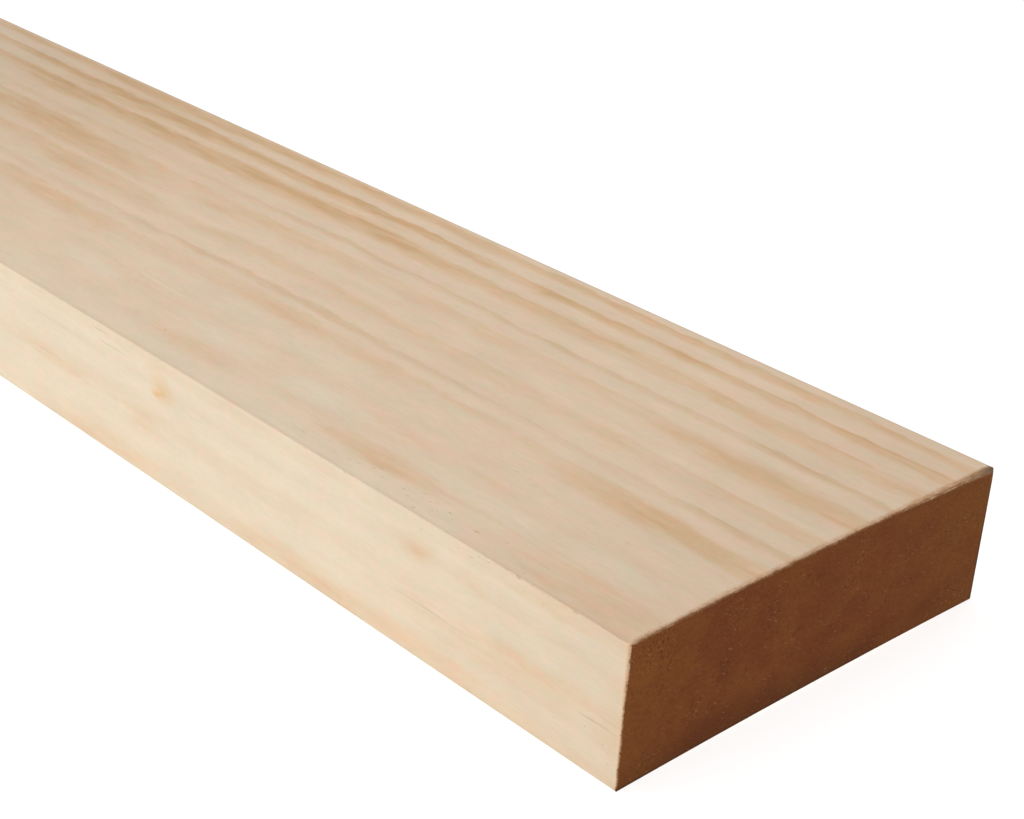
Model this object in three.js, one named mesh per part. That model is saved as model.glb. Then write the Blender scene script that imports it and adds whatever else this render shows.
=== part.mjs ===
// A dressed softwood plank: planed on four sides, its long edges eased, its ends sawn square.
// It lies flat with the cup side down, so it rests on its two lower edges.
//
// Frame: +X runs along the plank, +Y across its width and +Z up through its thickness.
// The origin is under the middle of the plank, on the level surface that it lies on.
// Lengths are in millimetres and angles in radians.
import * as THREE from "three";

// Driving dimensions
const length = 1800;
const width = 140;
const thickness = 42;
const cup = 0.8; // how high the middle of the underside stands off the surface below
const arrisRadius = 0.5; // of the four eased edges that run the length of the plank

// Facets of each curve in the section
const archFacets = 15; // odd, so that the middle facet of each broad face is level
const arrisFacets = 4;

// An arc about a centre given as (across, up), anticlockwise where `to` is past `from`.
function arc([across, up], radius, from, to, facets) {
  const curve = new THREE.EllipseCurve(across, up, radius, radius, from, to, to < from);
  return curve.getPoints(facets);
}

// The sawn section, looking along the plank with its width across and its thickness up.
// Both broad faces arch to one radius, so the plank is equally thick all the way across.
function section() {
  const arrisAcross = width / 2 - arrisRadius;
  const archRadius = (arrisAcross ** 2 + cup ** 2) / (2 * cup) - arrisRadius;
  const underCentre = [0, cup - archRadius];
  const topCentre = [0, cup - archRadius + thickness];

  // The angle from upright at which each arch runs smoothly into its arrises.
  const underLean = Math.asin(arrisAcross / (archRadius + arrisRadius));
  const topLean = Math.asin(arrisAcross / (archRadius - arrisRadius));
  const topArrisUp = topCentre[1] + (archRadius - arrisRadius) * Math.cos(topLean);

  const up = Math.PI / 2;
  const down = up + Math.PI;
  const farSide = 0;
  const nearSide = Math.PI;
  const farLower = [arrisAcross, arrisRadius];
  const farUpper = [arrisAcross, topArrisUp];
  const nearUpper = [-arrisAcross, topArrisUp];
  const nearLower = [-arrisAcross, arrisRadius];

  const outline = [
    arc(farLower, arrisRadius, down - underLean, farSide + 2 * Math.PI, arrisFacets),
    arc(farUpper, arrisRadius, farSide, up - topLean, arrisFacets),
    arc(topCentre, archRadius, up - topLean, up + topLean, archFacets),
    arc(nearUpper, arrisRadius, up + topLean, nearSide, arrisFacets),
    arc(nearLower, arrisRadius, nearSide, down + underLean, arrisFacets),
    arc(underCentre, archRadius, up + underLean, up - underLean, archFacets),
  ].flat();

  // Each arch ends where its arris starts, and that shared point is wanted once.
  const samePoint = 1e-6;
  return new THREE.Shape(
    outline.filter((point, i) => point.distanceTo(outline.at(i - 1)) > samePoint),
  );
}

// The section is drawn in X and Y and extruded along Z, then turned so that the plank runs along +X.
function plank() {
  const geometry = new THREE.ExtrudeGeometry(section(), {
    depth: length,
    bevelEnabled: false,
  });
  const planedPine = new THREE.MeshStandardMaterial({
    color: 0xd5bea3,
    roughness: 0.62,
    metalness: 0,
  });
  const mesh = new THREE.Mesh(geometry, planedPine);
  mesh.name = "plank";
  mesh.position.x = -length / 2;
  mesh.rotation.set(Math.PI / 2, Math.PI / 2, 0);
  return mesh;
}

const group = new THREE.Group();
group.add(plank());

export default group;
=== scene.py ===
"""Looks of a dressed softwood plank: planed faces, eased edges, sawn ends and a plain studio.

The stock is figured in millimetres from the sawn end at +X, across from the narrow face at -Y
and up from the face that it lies on, so a mark in the wood is placed as it would be with a rule.
"""

import math
from collections import namedtuple

import bmesh
import bpy
from bpy.props import FloatProperty, FloatVectorProperty, IntProperty, PointerProperty
from bpy.types import Operator, Panel, PropertyGroup
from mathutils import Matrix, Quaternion, Vector, noise


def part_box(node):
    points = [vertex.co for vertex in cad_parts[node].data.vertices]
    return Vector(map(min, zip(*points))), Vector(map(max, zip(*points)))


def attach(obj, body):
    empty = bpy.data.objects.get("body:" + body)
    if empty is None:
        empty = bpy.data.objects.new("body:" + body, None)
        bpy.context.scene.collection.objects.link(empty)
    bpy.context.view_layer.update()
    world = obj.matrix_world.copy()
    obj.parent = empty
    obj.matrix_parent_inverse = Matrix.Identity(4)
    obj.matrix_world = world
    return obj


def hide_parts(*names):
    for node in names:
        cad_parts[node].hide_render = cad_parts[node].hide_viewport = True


bl_info = {
    "name": "Timber plank",
    "version": (1, 0, 0),
    "blender": (4, 5, 0),
    "location": "View3D > Sidebar > Timber",
    "description": "Adds a dressed softwood plank and a plain studio to show it in",
    "category": "Add Mesh",
}

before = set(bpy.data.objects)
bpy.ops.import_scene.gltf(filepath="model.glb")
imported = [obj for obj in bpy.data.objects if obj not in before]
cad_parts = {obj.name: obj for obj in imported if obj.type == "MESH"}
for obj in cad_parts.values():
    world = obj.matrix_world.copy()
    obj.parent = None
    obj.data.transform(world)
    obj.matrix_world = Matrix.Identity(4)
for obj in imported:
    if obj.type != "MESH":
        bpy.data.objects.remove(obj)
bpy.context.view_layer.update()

MM = 0.001
PLANK_LOW, PLANK_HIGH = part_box("plank")
PLANK_LENGTH = PLANK_HIGH.x - PLANK_LOW.x
PLANK_WIDTH = PLANK_HIGH.y - PLANK_LOW.y
PLANK_HEIGHT = PLANK_HIGH.z - PLANK_LOW.z


def srgb(red, green, blue):
    """A colour on screen, from 0 to 255, as the light that it reflects."""
    def linear(value):
        share = value / 255
        return share / 12.92 if share <= 0.04045 else ((share + 0.055) / 1.055) ** 2.4
    return linear(red), linear(green), linear(blue)


# The growth rings -------------------------

# Each ring ends in a band of late wood: how far from the pith the band's sharp outer edge lies and
# how wide the band is, in mm, and how strongly it shows.
Ring = namedtuple("Ring", "outside width strength")
RINGS = (
    Ring(20.0, 4.0, 0.70),
    Ring(41.2, 5.5, 0.28),
    Ring(58.9, 7.5, 0.28),
    Ring(74.7, 8.5, 0.24),
    Ring(97.6, 8.0, 0.58),
    Ring(108.4, 4.9, 0.95),
    Ring(118.7, 5.0, 0.62),
    Ring(130.0, 6.0, 0.80),
    Ring(141.0, 5.0, 0.80),
    Ring(152.0, 6.0, 0.80),
)
# Rings that show as no more than a thin greyish line.
THIN_RINGS = (
    Ring(46.8, 3.2, 0.24),
    Ring(82.7, 3.4, 0.30),
)

# The pith runs above the plank and wanders along it: (from the end, place), in mm.
PITH_ACROSS = ((0, 21.8), (100, 21.7), (180, 22.0), (200, 23.0), (230, 22.3), (265, 21.4),
               (320, 21.7), (850, 24), (1300, 27), (1800, 23))
PITH_HEIGHT = ((0, 72), (220, 72), (300, 74.2), (420, 74.2), (850, 67), (1200, 63.5), (1500, 66),
               (1800, 68))
# How far the rings are drawn apart across the plank, along its length.
RING_SPREAD = ((0, 0.984), (45, 0.990), (100, 1.0), (180, 1.001), (200, 0.995), (230, 1.017),
               (265, 1.020), (450, 1.018), (900, 1.0), (1800, 0.98))

# The figure of the wood -------------------

# A soft mark in the stock: its middle and its half sizes, each along, across and up in mm, and how
# strongly it shows, below zero where it takes away from what is there.
Mark = namedtuple("Mark", "middle half_size strength")
# How high the upper face lies, in mm, between its edges and its crown.
UPPER = 42.5


def on_top(*rows, half_height=8):
    """Marks on the upper face: from end, across, half length, half width and strength."""
    return tuple(Mark((from_end, across, UPPER), (half_length, half_width, half_height), strength)
                 for from_end, across, half_length, half_width, strength in rows)


def on_side(*rows, half_width=6):
    """Marks on the narrow face at -Y: from end, up, half length, half height and strength."""
    return tuple(Mark((from_end, 0, up), (half_length, half_width, half_height), strength)
                 for from_end, up, half_length, half_height, strength in rows)


# Where there is more or less late wood than the rings bring.
LATE_MARKS = on_top(
    (38, 45, 52, 7.5, 0.53), (34, 84, 50, 8.5, 0.46), (395, 84, 70, 10, 0.6),
    (280, 111.5, 118, 8, 0.5), (280, 123.4, 112, 5.6, 0.5), (272, 135, 90, 5.4, 0.4),
    (400, 124, 90, 9, 0.45), (390, 135.8, 150, 5.2, 0.38), (410, 114, 100, 5, 0.46),
    (410, 108.5, 45, 4.5, 0.35), (340, 82.5, 34, 4.5, 0.28), (352, 65, 26, 4.5, 0.28),
    (158, 123, 14, 5, 0.45), (190, 126.2, 22, 2.6, -0.4), (14, 122.2, 24, 3.2, -0.45),
    (36, 111, 42, 3.4, -0.3), (217, 112, 36, 4, 0.4), (240, 87, 60, 4.5, 0.2),
    (432, 108, 30, 5, 0.44), (285, 71.8, 62, 3, -0.28), (250, 127.2, 28, 2.6, -0.32),
    (85, 136.6, 60, 3.6, -0.26), (10, 110.5, 22, 5, -0.25), (22, 128, 26, 3.6, -0.28),
    (400, 115.6, 60, 1.6, -0.28), (368, 89.5, 40, 2.4, -0.25), (120, 46, 36, 4.6, -0.12),
    (236, 116.5, 44, 3.4, 0.36), (205, 108.6, 36, 3.6, 0.3), (345, 108.2, 80, 3.6, 0.32),
    (365, 122.5, 75, 4.4, 0.3), (370, 133.2, 75, 3.6, 0.32), (310, 115, 50, 3, 0.2),
    (350, 77.8, 56, 4.6, 0.28), (280, 82.2, 60, 3.6, 0.2), (318, 42.5, 42, 6, 0.28),
    (326, 63, 56, 6, 0.18), (370, 96, 130, 60, 0.12), (112, 115, 62, 2.8, 0.28),
    (118, 125.3, 54, 2.6, 0.24), (200, 132.4, 24, 2.8, 0.24), (100, 136.8, 34, 3.4, 0.24),
    (4, 82.4, 26, 4, 0.34), (2, 43, 30, 4, 0.34), (194, 12.2, 28, 5, 0.24),
    (104, 12.2, 34, 5.4, 0.3),
) + on_top(
    (160, 15.4, 58, 1.1, 0.11), (60, 13.4, 66, 1.1, 0.13),
    half_height=4,
) + on_side(
    (76, 32.6, 11, 5.2, 0.28), (33, 19.8, 28, 4.6, 0.1), (255, 19.8, 28, 4.6, 0.06),
) + on_side(
    (212, 3, 50, 6, 0.08), (120, 3.4, 50, 6.4, 0.1),
    half_width=8,
)
# Where the early wood is a clearer, greener cream.
CLEAR_MARKS = on_top(
    (195, 22.5, 30, 6, 0.8), (145, 22, 26, 8, 0.9), (22, 21, 26, 6.5, 0.8),
    (70, 18.5, 34, 5, 0.5), (265, 23, 30, 6, 0.7), (120, 46, 34, 5, 0.4),
    (200, 38, 110, 9, 0.35),
)
# Where the wood is tinged with red.
BLUSH_MARKS = on_top(
    (242, 26.4, 34, 2.4, 0.38),
    half_height=6,
) + on_top(
    (200, 47.5, 38, 6, 0.35), (112, 27, 22, 5, 0.4), (76, 26, 16, 3.4, 0.35),
    (22, 6, 60, 12, 0.8), (8, 16, 44, 24, 0.25), (16, 124, 80, 36, 0.22),
    (106, 11, 38, 6.5, 0.5), (194, 11, 28, 6, 0.25),
) + on_side(
    (194, 37.5, 9, 7, 0.5), (203, 17, 14, 7, 0.55), (56, 32.6, 9, 4, 0.35),
) + on_side(
    (32, 30.5, 92, 10.5, 0.3), (62, 14.5, 54, 8, 0.24), (84, 5, 32, 5.5, 0.26),
    half_width=8,
) + on_side(
    (250, 20, 30, 5, 0.18), (24, 14, 90, 9, 0.55),
) + on_side(
    (0, 20, 14, 24, 0.45), (60, 2.6, 100, 6, 0.5), (128, 3.6, 36, 6, 0.34),
    (222, 3.4, 42, 6.5, 0.4),
    half_width=8,
)
# The pin knot on the near narrow face, and its darker heart.
KNOT_MARKS = on_side(
    (191, 32, 8.6, 5.8, 0.44), (194.6, 30.2, 3.4, 2.2, 0.4), (191.6, 31.4, 3.6, 2, 0.36),
)
# Fine light streaks.
PALE_MARKS = on_top(
    (234, 30.6, 30, 0.6, 0.35), (112, 110.2, 13, 0.7, 0.25),
    half_height=3,
)
# Hairlines along the grain: thin dark slits and torn fibres.
HAIR_MARKS = on_side(
    (216, 36.6, 12, 0.36, 0.36), (224, 39.9, 6, 0.32, 0.36), (250, 33.2, 30, 0.6, 0.22),
    (178, 30, 14, 0.5, 0.24), (72, 16.6, 24, 0.38, 0.4), (9, 15.6, 10, 0.36, 0.5),
    (258, 21, 14, 0.36, 0.26),
    half_width=3,
) + (Mark((6, 0.3, 42), (9, 0.45, 0.6), 0.6),)
# Where short torn fibres gather.
TORN_MARKS = on_top(
    (80, 5, 90, 9, 1), (60, 30, 80, 16, 0.6), (200, 14, 34, 6, 0.8),
) + on_side(
    (222, 38, 26, 5, 0.9), (40, 40, 70, 3, 0.8), (20, 8, 32, 12, 0.8),
    half_width=5,
)
# How far the crushed fibres of the end reach in over the upper face, from the near side, in mm.
CRUSHED_REACH = ((0, 0.6), (2, 1.3), (16, 1.5), (30, 2.2), (95, 2.2), (108, 2), (140, 1.9))
# How dark the painted shade at the foot of the sawn ends is against the rest, from the near side to
# the far one.
FOOT_PAINTED_SHADE = ((0, 0.84), (30, 0.75), (85, 0.77), (112, 0.95), (140, 0.95))
# Where the brown of the sawn ends is yellower or, below zero, redder.
YELLOW_MARKS = (
    Mark((0, 126, 31), (9, 14, 12), 0.5),
    Mark((0, 100, 33), (9, 9, 9), 0.3),
    Mark((0, 20, 6), (9, 18, 8), -0.4),
    Mark((0, 122, 7), (9, 14, 9), -0.45),
    Mark((0, 46, 25), (9, 14, 8), -0.25),
)
# The grey bruise on the far upper corner of the sawn ends, darkest at its tip.
BRUISE_MARKS = (
    Mark((0, 141, 42.5), (7, 17, 8), 0.7),
    Mark((0, 140.5, 42), (5, 5, 4.5), 0.5),
)
# Where the pits and fibres of the sawn ends gather.
PITTED_MARKS = (
    Mark((0, 5, 39), (9, 11, 8), 1),
    Mark((0, 12, 32), (9, 9, 8), 0.4),
    Mark((0, 86, 36), (9, 9, 7), 0.4),
    Mark((0, 130, 9), (9, 10, 9), 0.4),
)

# Noises and fades -------------------------

# A soft noise from 0 to 1: the size of its blots in mm along, across and up, how many finer layers
# lie on it, and how strong each layer is beside the one before.
Blots = namedtuple("Blots", "size layers falloff", defaults=(0.5,))
# of the planed faces
FIBRE = Blots((15, 0.7, 0.7), 1, 0.6)
STREAK = Blots((18, 3, 3), 2)
MOTTLE = Blots((24, 7, 7), 2, 0.6)
WARM_TINGE = Blots((7, 3.4, 3.4), 1)
COOL_TINGE = Blots((2.8, 1.3, 1.3), 1)
TORN_SLIT = Blots((2.8, 0.5, 0.5), 1)
MARK_DRIFT = Blots((12, 3, 3), 1)
RING_WAVER = Blots((120, 60, 60), 0)
RING_RIPPLE = Blots((16, 5, 5), 1, 0.6)
RING_PATCH = Blots((60, 6, 1), 1)
# of the sawn ends and their edges
END_CLOUD = Blots((12, 13, 9), 2, 0.6)
END_NAP = Blots((1, 1.1, 0.8), 1, 0.6)
# the pale fibres are partly painted light, and the dark pits are painted shade
END_HAIR_AND_LIGHT = Blots((1, 2.4, 0.5), 1)
END_PIT_SHADE = Blots((1, 0.6, 1.3), 1)
END_GATHERING = Blots((6, 8, 8), 1)
END_BUMP = Blots((0.9, 1.6, 0.8), 1)
WORN_STREAK = Blots((0.7, 3, 0.5), 1, 0.6)
WORN_TOOTH = Blots((0.8, 0.7, 0.7), 1, 0.65)
WORN_WAVE = Blots((4, 4, 4), 0)

# A fade: where it starts and ends, in mm or in a noise, and the result there, level outside.
Fade = namedtuple("Fade", "start end at_start at_end", defaults=(0, 1))
# of the rings
RINGS_BY_PATCH = Fade(0.32, 0.68, 0.55, 1.25)
RINGS_BY_STREAK = Fade(0.25, 0.75, 0.7, 1.3)
RINGS_ACROSS = Fade(0, 12, 0.42, 1)
# of the thin rings: how far they draw in towards the pith, and how strong they are
THIN_DRAWN_IN = Fade(0, 380, -1.1, 1.4)
THIN_ACROSS = Fade(0, 20, 0.35, 1)
THIN_ALONG = Fade(270, 340, 1, 0.5)
# of the sapwood
SAP_ACROSS = Fade(18, 0)
SAP_UP = Fade(41.2, 41.8, 1, 0.6)
# of the marks and the hairlines
MARKS_BY_STREAK = Fade(0.25, 0.75, 0.65, 1.35)
HAIRS_BY_MOTTLE = Fade(0.35, 0.6, 0.3, 1)
# of the planed faces' tone
TONE_BY_FIBRE = Fade(0.2, 0.8, -0.025, 0.025)
TONE_BY_MOTTLE = Fade(0.2, 0.8, 0.942, 1.042)
TONE_BY_COOL = Fade(0.3, 0.7, -0.012, 0.012)
TONE_AT_END = Fade(0, 90, 0.945, 1)
# painted shade of a light falloff: darker in a stretch further along the plank, and lifted back
# beyond it
PAINTED_FALLOFF_IN = Fade(250, 500, 1, 0.87)
PAINTED_FALLOFF_BEYOND = Fade(540, 840, 1, 1.15)
# painted shade along the foot of the planed faces, where they meet the floor
PAINTED_SHADE_AT_FOOT = Fade(0.3, 2.4, 0.955, 1)
# of their hue, from greenish to pinkish
HUE_BY_WARM = Fade(0.3, 0.7, -0.028, 0.028)
HUE_BY_COOL = Fade(0.3, 0.7, -0.006, 0.006)
# of the painted shade along each upper arris
ARRIS_SHADE_NEAR = Fade(2.2, 0.4)
ARRIS_SHADE_FAR = Fade(138.6, 139.6)
ARRIS_SHADE_UP = Fade(41.65, 41.9)
# of the dark nicks and painted shade along the near upper arris
NICKS_AND_SHADE_ACROSS = Fade(1, 0.4)
NICKS_AND_SHADE_UP = Fade(41.3, 41.8)
NICKS_AND_SHADE_ALONG = Fade(160, 10, 0.25, 1)
NICKS_AND_SHADE_BY_COOL = Fade(0.5, 0.7, 0.05, 0.5)
NICKS_AND_SHADE_BY_MOTTLE = Fade(0.4, 0.6, 0.3, 1)
# of the sawn ends: their yellow and their tone
YELLOW_BY_CLOUD = Fade(0.3, 0.7, 0, 0.65)
YELLOW_ASIDE = Fade(30, 68, 0, 0.5)
END_BY_NAP = Fade(0.2, 0.8, 0.88, 1.12)
END_NEAR = Fade(36, 0, 0.98, 1.05)
END_FAR = Fade(95, 125, 1, 0.95)
# of their fibres, partly painted light, and of their pits, painted shade: how they gather, and
# where each shows
GATHERED = Fade(0.46, 0.66, 0.24, 0.85)
HAIR_AND_LIGHT_OUT = Fade(0.6, 0.76)
PIT_SHADE_OUT = Fade(0.43, 0.31)
# of the crushed fibres
WORN_BY_STREAK = Fade(0.28, 0.7)
WORN_NEAR = Fade(3, 0.6)
WORN_ACROSS = Fade(1, 24, 0.8, 1)
# painted shade on the fibres over the upper face, and painted light on those over the end
WORN_PAINTED_LIGHT = Fade(0.2, -0.6, 0.84, 1.16)
# of where the sawn brown is whole, in mm from the edge of the end
SAWN_WHOLE = Fade(0.5, 3, -0.4, -0.8)
# of the dirt along the foot, at the far side and over the edge of the end, with painted contact
# shade where the foot meets the floor
DIRT_AND_SHADE_AT_FOOT = Fade(1.2, 0.15, 0, 0.55)
DIRT_AND_SHADE_ACROSS = Fade(85, 110, 1, 0.4)
DIRT_AND_SHADE_ASIDE = Fade(138.9, 139.7, 0, 0.45)
DIRT_AND_SHADE_UP = Fade(18, 26, 1, 0.4)
DIRT_AND_SHADE_EDGE = Fade(0.3, 0)
# of how high the torn fibres stand, in mm
BUMP_HEIGHT = Fade(0.3, -0.3, 0.02, 0.16)


# Settings ---------------------------------

def length_property(name, description, default):
    """A length, in metres."""
    return FloatProperty(name=name, description=description, default=default, unit="LENGTH",
                         subtype="DISTANCE")


def colour_property(name, description, default):
    """A colour, as the light that it reflects."""
    return FloatVectorProperty(name=name, description=description, default=default, size=3,
                               subtype="COLOR", min=0, max=1)


def share_property(name, description, default):
    """A share, from none to all."""
    return FloatProperty(name=name, description=description, default=default, min=0, max=1,
                         subtype="FACTOR")


class TimberSizes(PropertyGroup):
    """Sizes of the plank and of the mesh that carries its fine shape"""
    length: length_property("Length", "Along the grain", PLANK_LENGTH)
    width: length_property("Width", "Across the broad faces", PLANK_WIDTH)
    cup: length_property("Cup", "How far the broad faces arch up in the middle", 0.8 * MM)
    arris_radius: length_property("Arris radius", "Of the four eased long edges", 0.5 * MM)
    saw_lean: length_property(
        "Saw lean", "How far the foot of each end stands back from its head", 0.93 * MM)
    wear_near: length_property(
        "Wear, near side", "Bared edge under the upper edge at -Y, or brown over it if below zero",
        -0.05 * MM)
    wear_far: length_property(
        "Wear, far side", "Bared edge of the end under its upper edge at +Y", 0.60 * MM)
    wear_side: length_property(
        "Wear, near edge", "Bared edge of the end along its edge at -Y", 0.24 * MM)
    wear_corner: length_property(
        "Wear, corners", "More of the bared edge in the upper corners", 0.60 * MM)
    wear_spared: length_property(
        "Wear, spared", "How far the brown wraps over the other edges", 0.60 * MM)
    saw_relief: length_property("Saw relief", "Depth of the uneven saw cut on the ends", 0.16 * MM)
    columns: IntProperty(name="Columns", description="Cells across the end", default=300, min=16)
    rows: IntProperty(name="Rows", description="Cells up the end", default=96, min=16)
    arris_cells: IntProperty(
        name="Arris cells", description="Cells from each arris to its flat", default=4, min=1)


class TimberFinish(PropertyGroup):
    """Colours and surface of the wood"""
    early_wood: colour_property("Early wood", "Pale part of each ring", srgb(199, 177, 153))
    sapwood: colour_property(
        "Sapwood", "Paler early wood towards the near narrow face", srgb(200, 185, 163))
    soft_late: colour_property("Soft late wood", "Faint part of each ring", srgb(195, 167, 136))
    late_wood: colour_property("Late wood", "Dark part of each ring", srgb(184, 151, 114))
    blush: colour_property("Blush", "Reddish tinge of some streaks", (0.98, 0.87, 0.78))
    knot: colour_property("Pin knot", "Small knot on the narrow face", srgb(197, 157, 104))
    hairline: colour_property("Hairlines", "Resin canals and torn grain", srgb(146, 118, 90))
    pale: colour_property("Pale streaks", "Fine light streaks", srgb(216, 200, 172))
    end_red: colour_property("End grain, red", "Redder clouds of the sawn ends", srgb(115, 61, 27))
    end_brown: colour_property(
        "End grain, brown", "Browner clouds of the sawn ends", srgb(125, 73, 30))
    # Pale torn fibres, partly painted light on the sawn ends.
    end_fibre_and_light: colour_property(
        "End grain, fibres", "Pale torn fibres of the sawn ends", srgb(176, 126, 88))
    # The pits' darkness is painted shade.
    end_pit_shade: colour_property("End grain, pits", "Dark pits of the sawn ends", srgb(66, 34, 18))
    worn_light: colour_property(
        "Worn edge, light", "Crushed fibres along the end edges", srgb(192, 153, 118))
    worn_near: colour_property(
        "Worn edge, near side", "Clean fibres along the near edge", srgb(214, 175, 138))
    worn_dark: colour_property(
        "Worn edge, dark", "Dirt between the crushed fibres", srgb(157, 116, 82))
    bruise: colour_property(
        "Bruise", "Grey bruise on the far corner of the ends", srgb(118, 93, 70))
    # Dirt, with painted contact shade where the foot of the ends meets the floor.
    dirt_and_shade: colour_property("Dirt", "Along the foot and the far side of the ends", srgb(60, 42, 33))
    roughness: share_property("Roughness", "Of the planed faces", 0.60)
    end_roughness: share_property("End roughness", "Of the sawn ends", 0.88)


class StudioSettings(PropertyGroup):
    """Camera, lights and floor"""
    camera_place: FloatVectorProperty(
        name="Camera place", description="Where the camera stands", subtype="XYZ", unit="LENGTH",
        default=(1.16663, -0.36281, 0.29696))
    azimuth: FloatProperty(
        name="Azimuth", description="Turn of the camera round the plank", subtype="ANGLE",
        default=math.radians(46.58))
    elevation: FloatProperty(
        name="Elevation", description="How steeply the camera looks down", subtype="ANGLE",
        default=math.radians(26.44))
    roll: FloatProperty(
        name="Roll", description="Tilt of the camera about its view", subtype="ANGLE",
        default=math.radians(2.66))
    focal_length: FloatProperty(name="Focal length", description="Of the lens, in mm", default=72)
    sensor_width: FloatProperty(name="Sensor width", description="Of the film, in mm", default=36)
    key_place: FloatVectorProperty(
        name="Key place", description="Where the large soft light hangs", subtype="XYZ",
        unit="LENGTH", default=(-3.5, -5.05, 6.3))
    key_size: length_property("Key size", "Across the large soft light", 5.2)
    key_power: FloatProperty(
        name="Key power", description="Of the large soft light", unit="POWER", default=975.0)
    ambient: FloatProperty(name="Ambient", description="Even light from all round", default=0.46)
    floor_colour: colour_property("Floor", "Pale matt floor", (0.94, 0.94, 0.94))


# Node helpers -----------------------------

class Graph:
    """Adds nodes to one node tree and joins them as it goes."""

    def __init__(self, tree):
        self.tree = tree

    def feed(self, socket, value):
        """Joins another node's socket to this one, or sets its value."""
        if isinstance(value, bpy.types.NodeSocket):
            self.tree.links.new(value, socket)
        else:
            socket.default_value = value

    def add(self, kind, inputs=None, **settings):
        """A new node with its settings made and its inputs fed."""
        node = self.tree.nodes.new(kind)
        for name, value in settings.items():
            setattr(node, name, value)
        for name, value in (inputs or {}).items():
            self.feed(node.inputs[name], value)
        return node

    def math(self, operation, *given, clamp=False):
        """The result of one sum on numbers."""
        inputs = dict(enumerate(given))
        return self.add("ShaderNodeMath", inputs, operation=operation, use_clamp=clamp).outputs[0]

    def total(self, first, *others):
        """All of the numbers, added in turn."""
        for other in others:
            first = self.math("ADD", first, other)
        return first

    def product(self, first, *others):
        """All of the numbers, multiplied in turn."""
        for other in others:
            first = self.math("MULTIPLY", first, other)
        return first

    def vector(self, operation, *given, result="Vector"):
        """The result of one sum on vectors."""
        inputs = dict(enumerate(given))
        return self.add("ShaderNodeVectorMath", inputs, operation=operation).outputs[result]

    def ramp(self, value, start, end, at_start=0.0, at_end=1.0, shape="SMOOTHSTEP"):
        """The value from start to end as at_start to at_end, and level outside."""
        inputs = {"Value": value, "From Min": start, "From Max": end, "To Min": at_start,
                  "To Max": at_end}
        node = self.add("ShaderNodeMapRange", inputs, interpolation_type=shape, clamp=True)
        return node.outputs["Result"]

    def fade(self, value, fade, shape="SMOOTHSTEP"):
        """The value put through one of the fades above."""
        return self.ramp(value, *fade, shape)

    def swing(self, noise_value, reach):
        """A noise from 0 to 1 as minus reach to reach."""
        return self.ramp(noise_value, 0.0, 1.0, -reach, reach, "LINEAR")

    def mix(self, factor, a, b, blend="MIX"):
        """Colour a with as much of colour b as the factor says."""
        node = self.add("ShaderNodeMix", data_type="RGBA", blend_type=blend, clamp_factor=True)
        sockets = {socket.identifier: socket for socket in node.inputs}
        self.feed(sockets["Factor_Float"], factor)
        for name, colour in (("A_Color", a), ("B_Color", b)):
            joined = isinstance(colour, bpy.types.NodeSocket)
            self.feed(sockets[name], colour if joined else (*colour, 1.0))
        return next(socket for socket in node.outputs if socket.identifier == "Result_Color")

    def toned(self, colour, tone):
        """The colour made lighter or darker."""
        return self.mix(1.0, colour, self.joined(tone, tone, tone), blend="MULTIPLY")

    def noise(self, place, blots, output="Fac"):
        """One of the noises above, at a place in mm."""
        stretched = self.vector("MULTIPLY", place, tuple(1 / each for each in blots.size))
        inputs = {"Vector": stretched, "Scale": 1.0, "Detail": blots.layers,
                  "Roughness": blots.falloff}
        return self.add("ShaderNodeTexNoise", inputs).outputs[output]

    def marks(self, place, marks):
        """The summed strength of soft marks at a place in the stock."""
        group = bpy.data.node_groups.get(SOFT_MARK) or mark_group()
        total = 0.0
        for middle, half_size, strength in marks:
            total = self.add("ShaderNodeGroup", {
                "Place": place,
                "Scale": [1 / half for half in half_size],
                "Shift": [-at / half for at, half in zip(middle, half_size)],
                "Strength": strength,
                "Sum": total,
            }, node_tree=group).outputs[0]
        return total

    def curve(self, value, points, handles="AUTO"):
        """A curve through (value, result) points given in their own units."""
        start, end = points[0][0], points[-1][0]
        results = [result for at, result in points]
        low, high = min(results), max(results)
        share = self.ramp(value, start, end, shape="LINEAR")
        node = self.add("ShaderNodeFloatCurve", {"Value": share})
        line = node.mapping.curves[0].points
        while len(line) < len(points):
            line.new(0.5, 0.5)
        for point, (at, result) in zip(line, points):
            point.location = ((at - start) / (end - start), (result - low) / (high - low))
            point.handle_type = handles
        node.mapping.update()
        return self.ramp(node.outputs[0], 0.0, 1.0, low, high, "LINEAR")

    def spread(self, place):
        """The three parts of a vector."""
        return self.add("ShaderNodeSeparateXYZ", {0: place}).outputs[:]

    def joined(self, x, y, z):
        """A vector, or a colour, from its three parts."""
        return self.add("ShaderNodeCombineXYZ", {0: x, 1: y, 2: z}).outputs[0]


SOFT_MARK = "Soft mark"


def mark_group():
    """Node group: adds one soft lens-shaped mark to a running sum."""
    tree = bpy.data.node_groups.new(SOFT_MARK, "ShaderNodeTree")
    for title, kind in (("Place", "Vector"), ("Scale", "Vector"), ("Shift", "Vector"),
                        ("Strength", "Float"), ("Sum", "Float")):
        tree.interface.new_socket(title, in_out="INPUT", socket_type="NodeSocket" + kind)
    tree.interface.new_socket("Sum", in_out="OUTPUT", socket_type="NodeSocketFloat")
    graph = Graph(tree)
    given = graph.add("NodeGroupInput").outputs
    scaled = graph.vector("MULTIPLY_ADD", given["Place"], given["Scale"], given["Shift"])
    squared = graph.vector("DOT_PRODUCT", scaled, scaled, result="Value")
    inside = graph.math("SUBTRACT", 1.0, squared, clamp=True)
    mask = graph.product(inside, inside)
    marked = graph.math("MULTIPLY_ADD", mask, given["Strength"], given["Sum"])
    graph.add("NodeGroupOutput", {"Sum": marked})
    return tree


# Wood -------------------------------------

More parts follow.
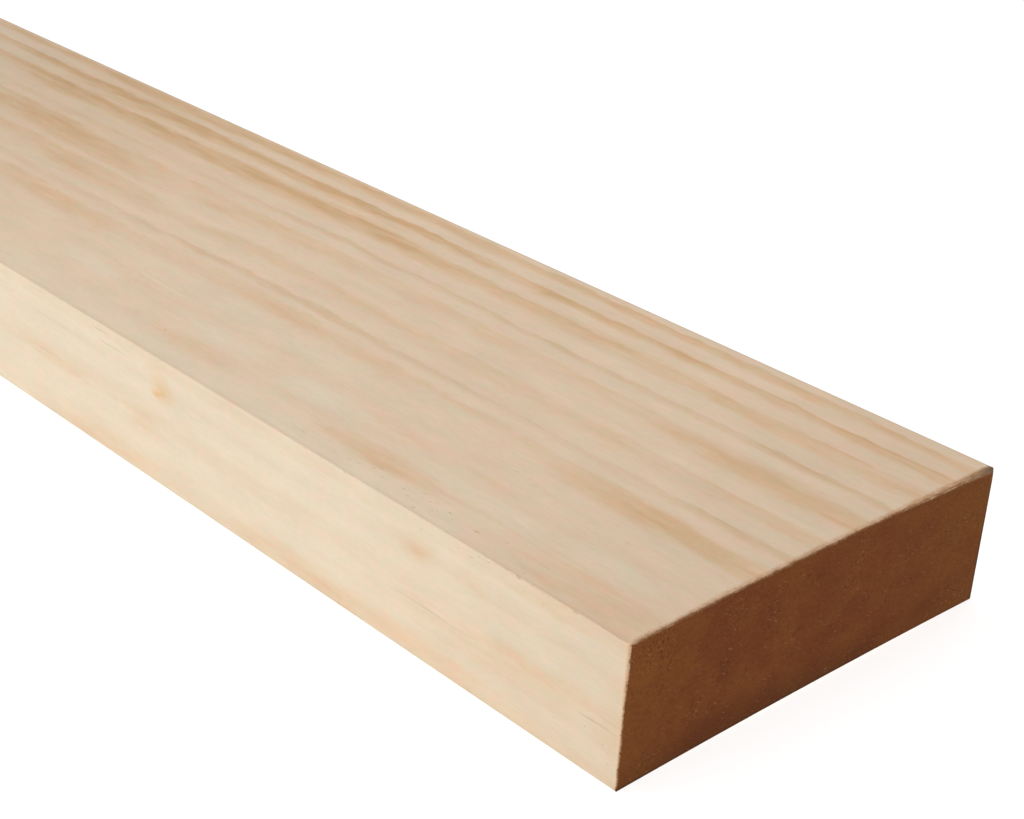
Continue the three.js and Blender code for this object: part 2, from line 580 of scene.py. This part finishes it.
# How far the rings waver and ripple, and how far the fibres and the warm tinge fray them, in mm.
WAVER_REACH = 0.8
RIPPLE_REACH = 1.1
FRAY_BY_FIBRE = 0.5
FRAY_BY_WARM = 1.1


def ring_radius(graph, place):
    """How far a place in the stock lies from the pith, in mm, with the rings' wander."""
    along, across, up = graph.spread(place)
    sideways = graph.math("SUBTRACT", across, graph.curve(along, PITH_ACROSS))
    sideways = graph.math("DIVIDE", sideways, graph.curve(along, RING_SPREAD))
    below = graph.math("SUBTRACT", up, graph.curve(along, PITH_HEIGHT))
    squared = graph.total(graph.product(sideways, sideways), graph.product(below, below))
    wander = graph.total(graph.swing(graph.noise(place, RING_WAVER), WAVER_REACH),
                         graph.swing(graph.noise(place, RING_RIPPLE), RIPPLE_REACH))
    return graph.total(graph.math("SQRT", squared), wander)


# How far before its band a ring's slow rise starts, the knee of the rise as shares of the band's
# width and strength, and how far before and past the band's edge the fall starts and ends, in mm.
RISE_START = 0.5
KNEE_WIDTH, KNEE_STRENGTH = 0.4, 0.75
FALL_START, FALL_END = 0.8, 0.2


def ring_profile(graph, radius, rings):
    """Late wood against the distance from the pith: a slow rise and a sharp fall for each ring."""
    profile = []
    for ring in rings:
        inside = ring.outside - ring.width
        profile += [
            (inside - RISE_START, 0.0),
            (inside + KNEE_WIDTH * ring.width, KNEE_STRENGTH * ring.strength),
            (ring.outside - FALL_START, ring.strength),
            (ring.outside + FALL_END, 0.0),
        ]
    return graph.curve(radius, profile, handles="VECTOR")


# The noises of the planed faces, and the place in the stock as it drifts, much or slightly.
Patterns = namedtuple("Patterns", "drifted slight fibre streak mottle warm cool")
# How far the place drifts, in mm from one limit to the other, and the share of the slight drift.
DRIFT_REACH = (15, 2.6, 2.6)
SLIGHT_SHARE = (0.10, 0.30, 0.30)


def planed_patterns(graph, place):
    """The patterns of the planed faces at a place in the stock."""
    wander = graph.vector("SUBTRACT", graph.noise(place, MARK_DRIFT, "Color"), (0.5, 0.5, 0.5))
    drift = graph.vector("MULTIPLY", wander, DRIFT_REACH)
    slight = graph.vector("ADD", place, graph.vector("MULTIPLY", drift, SLIGHT_SHARE))
    return Patterns(
        drifted=graph.vector("ADD", place, drift),
        slight=slight,
        fibre=graph.noise(slight, FIBRE),
        streak=graph.noise(slight, STREAK),
        mottle=graph.noise(slight, MOTTLE),
        warm=graph.noise(place, WARM_TINGE),
        cool=graph.noise(place, COOL_TINGE),
    )


def late_wood(graph, place, patterns):
    """How much late wood the rings put at a place in the stock, and how much of a thin line."""
    along, across = graph.spread(place)[:2]
    frayed = graph.total(graph.swing(patterns.fibre, FRAY_BY_FIBRE),
                         graph.swing(patterns.warm, FRAY_BY_WARM))
    radius = graph.total(ring_radius(graph, place), frayed)
    half = len(RINGS) // 2
    bands = graph.total(ring_profile(graph, radius, RINGS[:half]),
                        ring_profile(graph, radius, RINGS[half:]))
    # Each ring is stronger in some stretches than in others, and soft towards the narrow face.
    patch = graph.noise(graph.joined(along, radius, 0.0), RING_PATCH)
    strength = graph.product(graph.fade(patch, RINGS_BY_PATCH),
                             graph.fade(patterns.streak, RINGS_BY_STREAK),
                             graph.fade(across, RINGS_ACROSS))
    # The thin lines draw in towards the pith away from the end, and fade.
    drawn_in = graph.total(radius, graph.fade(along, THIN_DRAWN_IN, "LINEAR"))
    lines = graph.product(ring_profile(graph, drawn_in, THIN_RINGS), strength,
                          graph.fade(across, THIN_ACROSS), graph.fade(along, THIN_ALONG))
    return graph.product(bands, strength), lines


# How much late wood makes the faint colour whole, and how much the dark one.
FAINT_WHOLE = 0.4
DARK_WHOLE = 1.15


def ringed_wood(graph, late, early, finish):
    """The wood's colour for an amount of late wood: a rosy tan at first and then brown."""
    colour = graph.mix(graph.ramp(late, 0.0, FAINT_WHOLE, shape="LINEAR"), early, finish.soft_late)
    dark = graph.ramp(late, FAINT_WHOLE, DARK_WHOLE, shape="LINEAR")
    return graph.mix(dark, colour, finish.late_wood)


# How much painted shade darkens the upper arrises, and how far the hue moves green and blue.
ARRIS_PAINTED_SHADE = 0.07
GREEN_BY_HUE = -0.5
BLUE_BY_COOL = 0.12


def planed_tone(graph, place, patterns):
    """Tone of the planed faces, which follows the fibres and wanders in hue, with painted shade on
    the upper arrises, at the foot and in a stretch along the plank.
    """
    along, across, up = graph.spread(place)
    tone = graph.total(graph.fade(patterns.fibre, TONE_BY_FIBRE, "LINEAR"),
                       graph.fade(patterns.mottle, TONE_BY_MOTTLE, "LINEAR"),
                       graph.fade(patterns.cool, TONE_BY_COOL, "LINEAR"))
    # Each upper arris gets a strip of painted shade, a little darker than the faces that it joins.
    arris_shade = graph.math("MAXIMUM", graph.fade(across, ARRIS_SHADE_NEAR), graph.fade(across, ARRIS_SHADE_FAR))
    arris_shade = graph.product(arris_shade, graph.fade(up, ARRIS_SHADE_UP))
    # The tone takes painted shade of a light falloff along the plank, beside the painted shade on
    # the arrises and at the foot.
    tone = graph.product(tone, graph.fade(along, TONE_AT_END), graph.fade(along, PAINTED_FALLOFF_IN),
                         graph.fade(along, PAINTED_FALLOFF_BEYOND),
                         graph.math("MULTIPLY_ADD", arris_shade, -ARRIS_PAINTED_SHADE, 1.0),
                         # painted shade at the foot, where the faces meet the floor
                         graph.fade(up, PAINTED_SHADE_AT_FOOT))
    hue = graph.total(graph.fade(patterns.warm, HUE_BY_WARM, "LINEAR"),
                      graph.fade(patterns.cool, HUE_BY_COOL, "LINEAR"))
    cool = graph.math("SUBTRACT", patterns.cool, 0.5)
    return graph.joined(graph.total(tone, hue),
                        graph.math("MULTIPLY_ADD", hue, GREEN_BY_HUE, tone),
                        graph.math("MULTIPLY_ADD", cool, BLUE_BY_COOL, tone))


# Torn fibres show where their noise stands above a level, which falls where they gather.
TORN_LEVEL = 0.79
TORN_GATHERED = -0.125
TORN_OUT = Fade(0, 0.06)
# How dark the thin rings and the torn fibres are beside the hairlines.
THIN_AS_SLIT = 0.35
TORN_AS_SLIT = 0.5


def planed_slits(graph, place, patterns, lines):
    """Hairlines, thin rings, torn fibres, and dark nicks mixed with painted shade along the near
    upper arris.
    """
    along, across, up = graph.spread(place)
    hairs = graph.product(graph.marks(patterns.slight, HAIR_MARKS),
                          graph.fade(patterns.mottle, HAIRS_BY_MOTTLE))
    density = graph.marks(place, TORN_MARKS)
    level = graph.math("MULTIPLY_ADD", density, TORN_GATHERED, TORN_LEVEL)
    torn = graph.fade(graph.math("SUBTRACT", graph.noise(place, TORN_SLIT), level), TORN_OUT)
    # Along the near upper arris: dark nicks, partly real and partly painted shade that darkens the
    # light its rounding catches.
    nicks_and_shade = graph.product(graph.fade(across, NICKS_AND_SHADE_ACROSS), graph.fade(up, NICKS_AND_SHADE_UP),
                          graph.fade(along, NICKS_AND_SHADE_ALONG), graph.fade(patterns.cool, NICKS_AND_SHADE_BY_COOL),
                          graph.fade(patterns.mottle, NICKS_AND_SHADE_BY_MOTTLE))
    return graph.math("ADD", graph.math("MULTIPLY_ADD", lines, THIN_AS_SLIT, hairs),
                      graph.math("MULTIPLY_ADD", torn, TORN_AS_SLIT, nicks_and_shade), clamp=True)


def planed_colour(graph, place, finish):
    """Colour of the planed faces."""
    patterns = planed_patterns(graph, place)
    across, up = graph.spread(place)[1:]
    sappy = graph.product(graph.fade(across, SAP_ACROSS), graph.fade(up, SAP_UP))
    clear = graph.marks(patterns.drifted, CLEAR_MARKS)
    light = graph.math("ADD", sappy, clear, clamp=True)
    early = graph.mix(light, finish.early_wood, finish.sapwood)

    bands, lines = late_wood(graph, place, patterns)
    patchy = graph.fade(patterns.streak, MARKS_BY_STREAK)
    marked = graph.product(graph.marks(patterns.drifted, LATE_MARKS), patchy)
    blush = graph.product(graph.marks(patterns.drifted, BLUSH_MARKS), patchy)
    knot = graph.product(graph.marks(patterns.slight, KNOT_MARKS), patchy)
    pale = graph.marks(patterns.slight, PALE_MARKS)

    colour = ringed_wood(graph, graph.total(bands, marked, lines), early, finish)
    colour = graph.mix(blush, colour, finish.blush, blend="MULTIPLY")
    colour = graph.mix(pale, colour, finish.pale)
    colour = graph.mix(knot, colour, finish.knot)
    colour = graph.mix(1.0, colour, planed_tone(graph, place, patterns), blend="MULTIPLY")
    return graph.mix(planed_slits(graph, place, patterns, lines), colour, finish.hairline)


# How the torn fibres of the end lean, where across it the brown is reddest and how high painted
# shade darkens its foot, in mm, and how strongly its pale fibres, partly painted light, and its
# pits, painted shade, show.
HAIR_LEAN = math.radians(32)
REDDEST = 66.0
FOOT_HEIGHT = 13.0
HAIR_AND_LIGHT_STRENGTH = 0.34
PIT_SHADE_STRENGTH = 0.62


def sawn_colour(graph, place, finish):
    """Colour of the sawn ends."""
    across, up = graph.spread(place)[1:]
    # The brown is yellower towards both sides of the end, and painted shade darkens it towards its
    # foot.
    aside = graph.math("ABSOLUTE", graph.math("SUBTRACT", across, REDDEST))
    yellow = graph.total(graph.fade(graph.noise(place, END_CLOUD), YELLOW_BY_CLOUD),
                         graph.fade(aside, YELLOW_ASIDE),
                         graph.marks(place, YELLOW_MARKS))
    foot = graph.ramp(up, 0.0, FOOT_HEIGHT, graph.curve(across, FOOT_PAINTED_SHADE), 1.0, "SMOOTHERSTEP")
    shade = graph.product(graph.fade(graph.noise(place, END_NAP), END_BY_NAP, "LINEAR"), foot,
                          graph.fade(across, END_NEAR), graph.fade(across, END_FAR))
    colour = graph.toned(graph.mix(yellow, finish.end_red, finish.end_brown), shade)

    inputs = {"Vector": place, "Rotation": (HAIR_LEAN, 0, 0)}
    turned = graph.add("ShaderNodeMapping", inputs).outputs[0]
    gathered = graph.math("ADD", graph.fade(graph.noise(place, END_GATHERING), GATHERED),
                          graph.marks(place, PITTED_MARKS), clamp=True)
    # Pale torn fibres, partly painted light, and dark pits of painted shade.
    hair_and_light = graph.fade(graph.noise(turned, END_HAIR_AND_LIGHT), HAIR_AND_LIGHT_OUT)
    hair_and_light = graph.product(hair_and_light, gathered, HAIR_AND_LIGHT_STRENGTH)
    pit_shade = graph.fade(graph.noise(turned, END_PIT_SHADE), PIT_SHADE_OUT)
    pit_shade = graph.product(pit_shade, gathered, PIT_SHADE_STRENGTH)
    return graph.mix(pit_shade, graph.mix(hair_and_light, colour, finish.end_fibre_and_light), finish.end_pit_shade)


def worn_colour(graph, place, from_edge, finish):
    """Colour of the crushed fibres along the end edges, streaked along the edge, with painted shade
    where they lie over the upper face and painted light where they lie over the end.
    """
    streak = graph.fade(graph.noise(place, WORN_STREAK), WORN_BY_STREAK)
    colour = graph.mix(streak, finish.worn_dark, finish.worn_light)
    across = graph.spread(place)[1]
    colour = graph.mix(graph.fade(across, WORN_NEAR), colour, finish.worn_near)
    colour = graph.mix(graph.marks(place, BRUISE_MARKS), colour, finish.bruise)
    # Painted shade over the upper face and painted light over the end.
    return graph.toned(colour, graph.fade(from_edge, WORN_PAINTED_LIGHT))


# How ragged the edge of the worn fibres is, in fine teeth and in waves, where over the end they are
# whole, and where the sawn brown starts, in mm.
TOOTH_REACH = 0.6
WAVE_REACH = 0.3
WORN_WHOLE = -0.1
SAWN_START = 0.5


def end_covers(graph, place, from_edge):
    """How much the crushed fibres cover the planed wood, and the sawn brown covers both."""
    across = graph.spread(place)[1]
    teeth = graph.total(graph.swing(graph.noise(place, WORN_TOOTH), TOOTH_REACH),
                        graph.swing(graph.noise(place, WORN_WAVE), WAVE_REACH))
    ragged = graph.total(from_edge, teeth)
    start = graph.curve(across, CRUSHED_REACH)
    on_worn = graph.product(graph.ramp(ragged, start, WORN_WHOLE), graph.fade(across, WORN_ACROSS))
    # How far, in mm, the bared fibres reach over the end from its edge.
    wear = graph.add("ShaderNodeAttribute", attribute_name="wear").outputs["Fac"]
    whole = graph.fade(across, SAWN_WHOLE)
    return on_worn, graph.ramp(graph.total(ragged, wear), SAWN_START, whole)


def end_dirt_and_shade(graph, place, from_edge, sizes):
    """Dirt along the lower edge and the far side of the ends, with painted contact shade along the
    lower edge.
    """
    across, up = graph.spread(place)[1:]
    cup = sizes.cup / MM
    sideways = graph.ramp(across, 0.0, sizes.width / MM, -1.0, 1.0, "LINEAR")
    arch = graph.math("MULTIPLY_ADD", graph.product(sideways, sideways), -cup, cup)
    foot = graph.product(graph.fade(graph.math("SUBTRACT", up, arch), DIRT_AND_SHADE_AT_FOOT),
                         graph.fade(across, DIRT_AND_SHADE_ACROSS))
    aside = graph.product(graph.fade(across, DIRT_AND_SHADE_ASIDE), graph.fade(up, DIRT_AND_SHADE_UP))
    return graph.product(graph.math("MAXIMUM", foot, aside), graph.fade(from_edge, DIRT_AND_SHADE_EDGE))


def wood_material(sizes, finish):
    """Planed pine with brown sawn ends, figured in millimetres from the end at +X."""
    material = bpy.data.materials.new("planed_pine")
    material.use_nodes = True
    tree = material.node_tree
    tree.nodes.clear()
    graph = Graph(tree)

    place = graph.add("ShaderNodeMapping", {
        "Vector": graph.add("ShaderNodeTexCoord").outputs["Object"],
        "Scale": (-1 / MM, 1 / MM, 1 / MM),
        "Location": (sizes.length / 2 / MM, sizes.width / 2 / MM, 0),
    }).outputs[0]
    # In mm from the end edge, in over a long face, or below zero over the sawn end.
    from_edge = graph.add("ShaderNodeAttribute", attribute_name="from_edge").outputs["Fac"]

    on_worn, on_end = end_covers(graph, place, from_edge)
    colour = graph.mix(on_worn, planed_colour(graph, place, finish),
                       worn_colour(graph, place, from_edge, finish))
    colour = graph.mix(on_end, colour, sawn_colour(graph, place, finish))
    # Dirt and painted contact shade along the foot of the ends.
    colour = graph.mix(end_dirt_and_shade(graph, place, from_edge, sizes), colour, finish.dirt_and_shade)

    # Torn fibres stand up from the sawn end.
    height = graph.product(graph.noise(place, END_BUMP), graph.fade(from_edge, BUMP_HEIGHT))
    bump = graph.add("ShaderNodeBump", {"Strength": 1.0, "Distance": MM, "Height": height})
    shader = graph.add("ShaderNodeBsdfPrincipled", {
        "Base Color": colour,
        "Roughness": graph.ramp(on_end, 0.0, 1.0, finish.roughness, finish.end_roughness),
        "Specular IOR Level": 0.12,
        "Normal": bump.outputs[0],
    })
    graph.add("ShaderNodeOutputMaterial", {"Surface": shader.outputs[0]})
    return material


# The plank --------------------------------

# Sections along the plank: distances from each end in mm, close together where the edge is worn.
STATIONS = (0.35, 0.8, 1.5, 2.6, 4.2, 7, 12, 22, 45, 90, 170, 300, 450, 600, 750)
# How far in from the end the sections are still drawn back with it.
WORN_REACH = 8 * MM
# How far the wear of the corners and of the far edge reaches, and how slight any wear may be.
CORNER_REACH = 10 * MM
FAR_EDGE_REACH = 3 * MM
LEAST_WEAR = 0.1 * MM
# Where the wear under the upper edge grows, as shares of the width from the middle, and where the
# wear of the near edge does, up from the foot.
WEAR_GROWS_ACROSS = (0.16, 0.32)
WEAR_GROWS_UP = (20 * MM, 33 * MM)
# How much more the far edge is worn at its head than the far side is.
FAR_HEAD_WEAR = 1.6
# How much of the wear of a corner its upright near edge takes.
CORNER_NEAR = 0.5
# How much a rough place adds to the wear of the upper edge, of the near edge and of the depth.
ROUGH_UPPER, ROUGH_NEAR, ROUGH_DEPTH = 0.5, 0.4, 0.3
# The waves of a rough surface: how fine they are, in waves to the mm, and how strong.
WEAR_WAVES = ((0.9, 0.35), (0.22, 0.4), (2.1, 0.25))
SAW_WAVES = ((0.28, 0.45), (0.9, 0.35), (2.2, 0.2))
# How far apart the two ends lie in the noise, in mm, so that their saw cuts differ.
ENDS_APART = 40.0
# A distance, in metres, that is as good as nothing.
NEXT_TO_NOTHING = 1e-9


def cell_corner(share, cells, half, arris, arris_cells):
    """Where a grid line lies, for a share from -1 to 1, with cells that round the arris."""
    cells_in = (1 - abs(share)) * cells / 2
    if cells_in <= arris_cells:
        inward = arris * cells_in / arris_cells
    else:
        inward = arris + (half - arris) * (cells_in - arris_cells) / (cells / 2 - arris_cells)
    return math.copysign(half - inward, share)


def round_arris(across, up, half_width, height, radius):
    """Draws a point of the square section in to the rounded one."""
    centre_across = math.copysign(half_width - radius, across)
    centre_up = radius if up < height / 2 else height - radius
    out_across, out_up = across - centre_across, up - centre_up
    beyond = out_across * across > 0 and (out_up < 0) == (up < height / 2)
    if not beyond or min(abs(out_across), abs(out_up)) < NEXT_TO_NOTHING:
        return across, up
    shrink = max(abs(out_across), abs(out_up)) / math.hypot(out_across, out_up)
    return centre_across + out_across * shrink, centre_up + out_up * shrink


def edge_height(sizes):
    """How thick the plank is, the same all the way across."""
    return PLANK_HEIGHT - sizes.cup


def arch(sizes, across):
    """How far the broad faces stand above their edges."""
    return sizes.cup * (1 - (across / (sizes.width / 2)) ** 2)


def section_grid(sizes):
    """A bmesh of the sawn end at +X: a grid with its corners rounded, and arched."""
    built = bmesh.new()
    half_width, height = sizes.width / 2, edge_height(sizes)
    radius, cells = sizes.arris_radius, sizes.arris_cells
    bmesh.ops.create_grid(built, x_segments=sizes.columns, y_segments=sizes.rows, size=1.0)
    for vertex in built.verts:
        across = cell_corner(vertex.co.x, sizes.columns, half_width, radius, cells)
        up = cell_corner(vertex.co.y, sizes.rows, height / 2, radius, cells) + height / 2
        across, up = round_arris(across, up, half_width, height, radius)
        vertex.co = (sizes.length / 2, across, up + arch(sizes, across))
    return built


def fillet_depth(distance, radius):
    """How far a rounded edge stands back at a distance in from it."""
    if distance >= radius:
        return 0.0
    return radius - math.sqrt(max(radius ** 2 - (radius - distance) ** 2, 0.0))


def smooth_step(value, low, high):
    """A smooth rise from 0 at low to 1 at high, and level outside."""
    share = min(max((value - low) / (high - low), 0.0), 1.0)
    return share * share * (3 - 2 * share)


def waves(place, parts):
    """How high a rough surface stands at a place in mm, from about -1 to 1."""
    return sum(noise.noise(place * fineness) * strength for fineness, strength in parts)


def end_wear(sizes, across, up):
    """How far a point of the end is worn back and lies in, and the wear of its edge."""
    half_width = sizes.width / 2
    rise = arch(sizes, across)
    below = edge_height(sizes) + rise - up
    rough = waves(Vector((0.0, across, up)) / MM, WEAR_WAVES)
    corner_distance = math.hypot(half_width - abs(across), below)
    corner = math.exp(-corner_distance / CORNER_REACH) * sizes.wear_corner
    grown = smooth_step(across / sizes.width, *WEAR_GROWS_ACROSS)
    upper = sizes.wear_near + (sizes.wear_far - sizes.wear_near) * grown
    near = sizes.wear_side * (1 + smooth_step(up, *WEAR_GROWS_UP))
    far = FAR_HEAD_WEAR * math.exp(-below / FAR_EDGE_REACH) * sizes.wear_far - sizes.wear_spared
    # Each edge of the end: how far in from it the point lies, and how far it is bared.
    edges = (
        (max(below, 0.0), upper * (1 + ROUGH_UPPER * rough) + corner),
        (max(up - rise, 0.0), -sizes.wear_spared),
        (max(across + half_width, 0.0), near * (1 + ROUGH_NEAR * rough) + CORNER_NEAR * corner),
        (max(half_width - across, 0.0), far + corner),
    )
    depth = max(fillet_depth(distance, max(wear, LEAST_WEAR) * (1 + ROUGH_DEPTH * rough))
                for distance, wear in edges)
    inward, wear = min(edges)
    return depth, inward, wear


def saw_relief(sizes, side, across, up):
    """Depth of the uneven saw cut at a point of an end."""
    place = Vector((side * ENDS_APART, across / MM, up / MM))
    return sizes.saw_relief * (0.5 + 0.5 * waves(place, SAW_WAVES))


def put_in_order(elements, place):
    """Numbers the elements by their places, because the operators leave them in any order."""
    for index, element in enumerate(sorted(elements, key=lambda each: tuple(place(each)))):
        element.index = index
    elements.sort()


def build_plank(sizes):
    """The plank's mesh: the end grid drawn out along the grain, with worn end edges."""
    built = section_grid(sizes)
    drawn = bmesh.ops.extrude_face_region(built, geom=built.faces[:])
    far_end = [item for item in drawn["geom"] if isinstance(item, bmesh.types.BMVert)]
    bmesh.ops.translate(built, verts=far_end, vec=(-sizes.length, 0, 0))
    long_edges = [edge for edge in built.edges if edge.calc_length() > sizes.length / 2]
    sections = 2 * len(STATIONS) + 1
    bmesh.ops.subdivide_edges(built, edges=long_edges, cuts=sections, use_grid_fill=True)
    bmesh.ops.recalc_face_normals(built, faces=built.faces[:])

    # How far in from the end edge each point lies, and how far that edge is bared, in mm.
    from_edge = built.verts.layers.float.new("from_edge")
    wear_layer = built.verts.layers.float.new("wear")
    half_length = sizes.length / 2
    for vertex in built.verts:
        x, across, up = vertex.co
        side = math.copysign(1.0, x)
        lean = sizes.saw_lean * (1 - up / PLANK_HEIGHT)
        section = round((half_length - abs(x)) / sizes.length * (sections + 1))
        if section > len(STATIONS):
            vertex.co.x = 0.0
            vertex[from_edge] = half_length / MM
            continue
        depth, inward, wear = end_wear(sizes, across * side, up)
        vertex[wear_layer] = wear / MM
        if section == 0:
            depth = max(depth, saw_relief(sizes, side, across, up))
            vertex.co.x = side * (half_length - lean - depth)
            vertex[from_edge] = -inward / MM
        else:
            station = STATIONS[section - 1] * MM
            drawn_back = (lean + depth) * max(0.0, 1 - station / WORN_REACH) ** 2
            vertex.co.x = side * (half_length - station - drawn_back)
            vertex[from_edge] = station / MM
    for face in built.faces:
        face.smooth = True
    put_in_order(built.verts, lambda vertex: vertex.co)
    put_in_order(built.faces, lambda face: face.calc_center_median())
    mesh = bpy.data.meshes.new("timber_plank")
    built.to_mesh(mesh)
    built.free()
    return mesh


class TimberAddPlank(Operator):
    """Add the planed plank with its worn, sawn ends"""
    bl_idname = "timber.add_plank"
    bl_label = "Add plank"

    def execute(self, context):
        sizes, finish = context.scene.timber_sizes, context.scene.timber_finish
        mesh = build_plank(sizes)
        mesh.materials.append(wood_material(sizes, finish))
        plank = bpy.data.objects.new("timber_plank", mesh)
        context.scene.collection.objects.link(plank)
        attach(plank, "root")
        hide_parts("plank")
        return {"FINISHED"}


# The studio -------------------------------

# In metres: from the middle of the floor to its edges, and how far the camera sees.
FLOOR_REACH = 30.0
CAMERA_REACH = 200.0


def add_floor(scene, settings):
    """A pale matt floor under the plank."""
    built = bmesh.new()
    bmesh.ops.create_grid(built, x_segments=1, y_segments=1, size=FLOOR_REACH)
    mesh = bpy.data.meshes.new("studio_floor")
    built.to_mesh(mesh)
    built.free()
    material = bpy.data.materials.new("matt_floor")
    material.use_nodes = True
    shader = material.node_tree.nodes["Principled BSDF"]
    shader.inputs["Base Color"].default_value = (*settings.floor_colour, 1.0)
    shader.inputs["Roughness"].default_value = 0.95
    shader.inputs["Specular IOR Level"].default_value = 0.0
    mesh.materials.append(material)
    floor = bpy.data.objects.new("studio_floor", mesh)
    scene.collection.objects.link(floor)


def add_key_light(scene, settings):
    """A large soft light that throws no shadow, so that the floor stays pale round the plank."""
    data = bpy.data.lights.new("key_light", "AREA")
    data.shape = "DISK"
    data.size = settings.key_size
    data.energy = settings.key_power
    data.use_shadow = False
    light = bpy.data.objects.new("key_light", data)
    light.location = settings.key_place
    light.rotation_euler = (-light.location).to_track_quat("-Z", "Y").to_euler()
    scene.collection.objects.link(light)


def add_ambient_light(scene, settings):
    """Even light from all round."""
    world = bpy.data.worlds.new("studio_air")
    world.use_nodes = True
    background = world.node_tree.nodes["Background"]
    background.inputs["Color"].default_value = (1, 1, 1, 1)
    background.inputs["Strength"].default_value = settings.ambient
    scene.world = world


def add_camera(scene, settings):
    """A camera that looks down at the end of the plank."""
    data = bpy.data.cameras.new("camera")
    data.lens = settings.focal_length
    data.sensor_width = settings.sensor_width
    data.clip_end = CAMERA_REACH
    camera = bpy.data.objects.new("camera", data)
    turn, tilt = settings.azimuth, settings.elevation
    level = math.cos(tilt)
    back = Vector((math.sin(turn) * level, -math.cos(turn) * level, math.sin(tilt)))
    camera.location = settings.camera_place
    aim = (-back).to_track_quat("-Z", "Y") @ Quaternion((0, 0, 1), settings.roll)
    camera.rotation_euler = aim.to_euler()
    scene.collection.objects.link(camera)
    scene.camera = camera


class TimberAddStudio(Operator):
    """Add the camera, the soft lights and the pale floor"""
    bl_idname = "timber.add_studio"
    bl_label = "Add studio"

    def execute(self, context):
        scene, settings = context.scene, context.scene.timber_studio
        add_camera(scene, settings)
        add_floor(scene, settings)
        add_key_light(scene, settings)
        add_ambient_light(scene, settings)
        scene.view_settings.view_transform = "Standard"
        return {"FINISHED"}


# The sidebar ------------------------------

class TimberPanel(Panel):
    """Settings and buttons of the plank"""
    bl_label = "Timber plank"
    bl_idname = "VIEW3D_PT_timber_plank"
    bl_space_type = "VIEW_3D"
    bl_region_type = "UI"
    bl_category = "Timber"

    def draw(self, context):
        scene = context.scene
        for group in (scene.timber_sizes, scene.timber_finish, scene.timber_studio):
            box = self.layout.box()
            for name in group.__annotations__:
                box.prop(group, name)
        self.layout.operator(TimberAddStudio.bl_idname)
        self.layout.operator(TimberAddPlank.bl_idname)


CLASSES = (TimberSizes, TimberFinish, StudioSettings, TimberAddPlank, TimberAddStudio, TimberPanel)


def register():
    for each in CLASSES:
        bpy.utils.register_class(each)
    bpy.types.Scene.timber_sizes = PointerProperty(type=TimberSizes)
    bpy.types.Scene.timber_finish = PointerProperty(type=TimberFinish)
    bpy.types.Scene.timber_studio = PointerProperty(type=StudioSettings)


def unregister():
    del bpy.types.Scene.timber_studio
    del bpy.types.Scene.timber_finish
    del bpy.types.Scene.timber_sizes
    for each in reversed(CLASSES):
        bpy.utils.unregister_class(each)


def main():
    register()
    bpy.ops.timber.add_studio()
    bpy.ops.timber.add_plank()


if __name__ == "__main__":
    main()
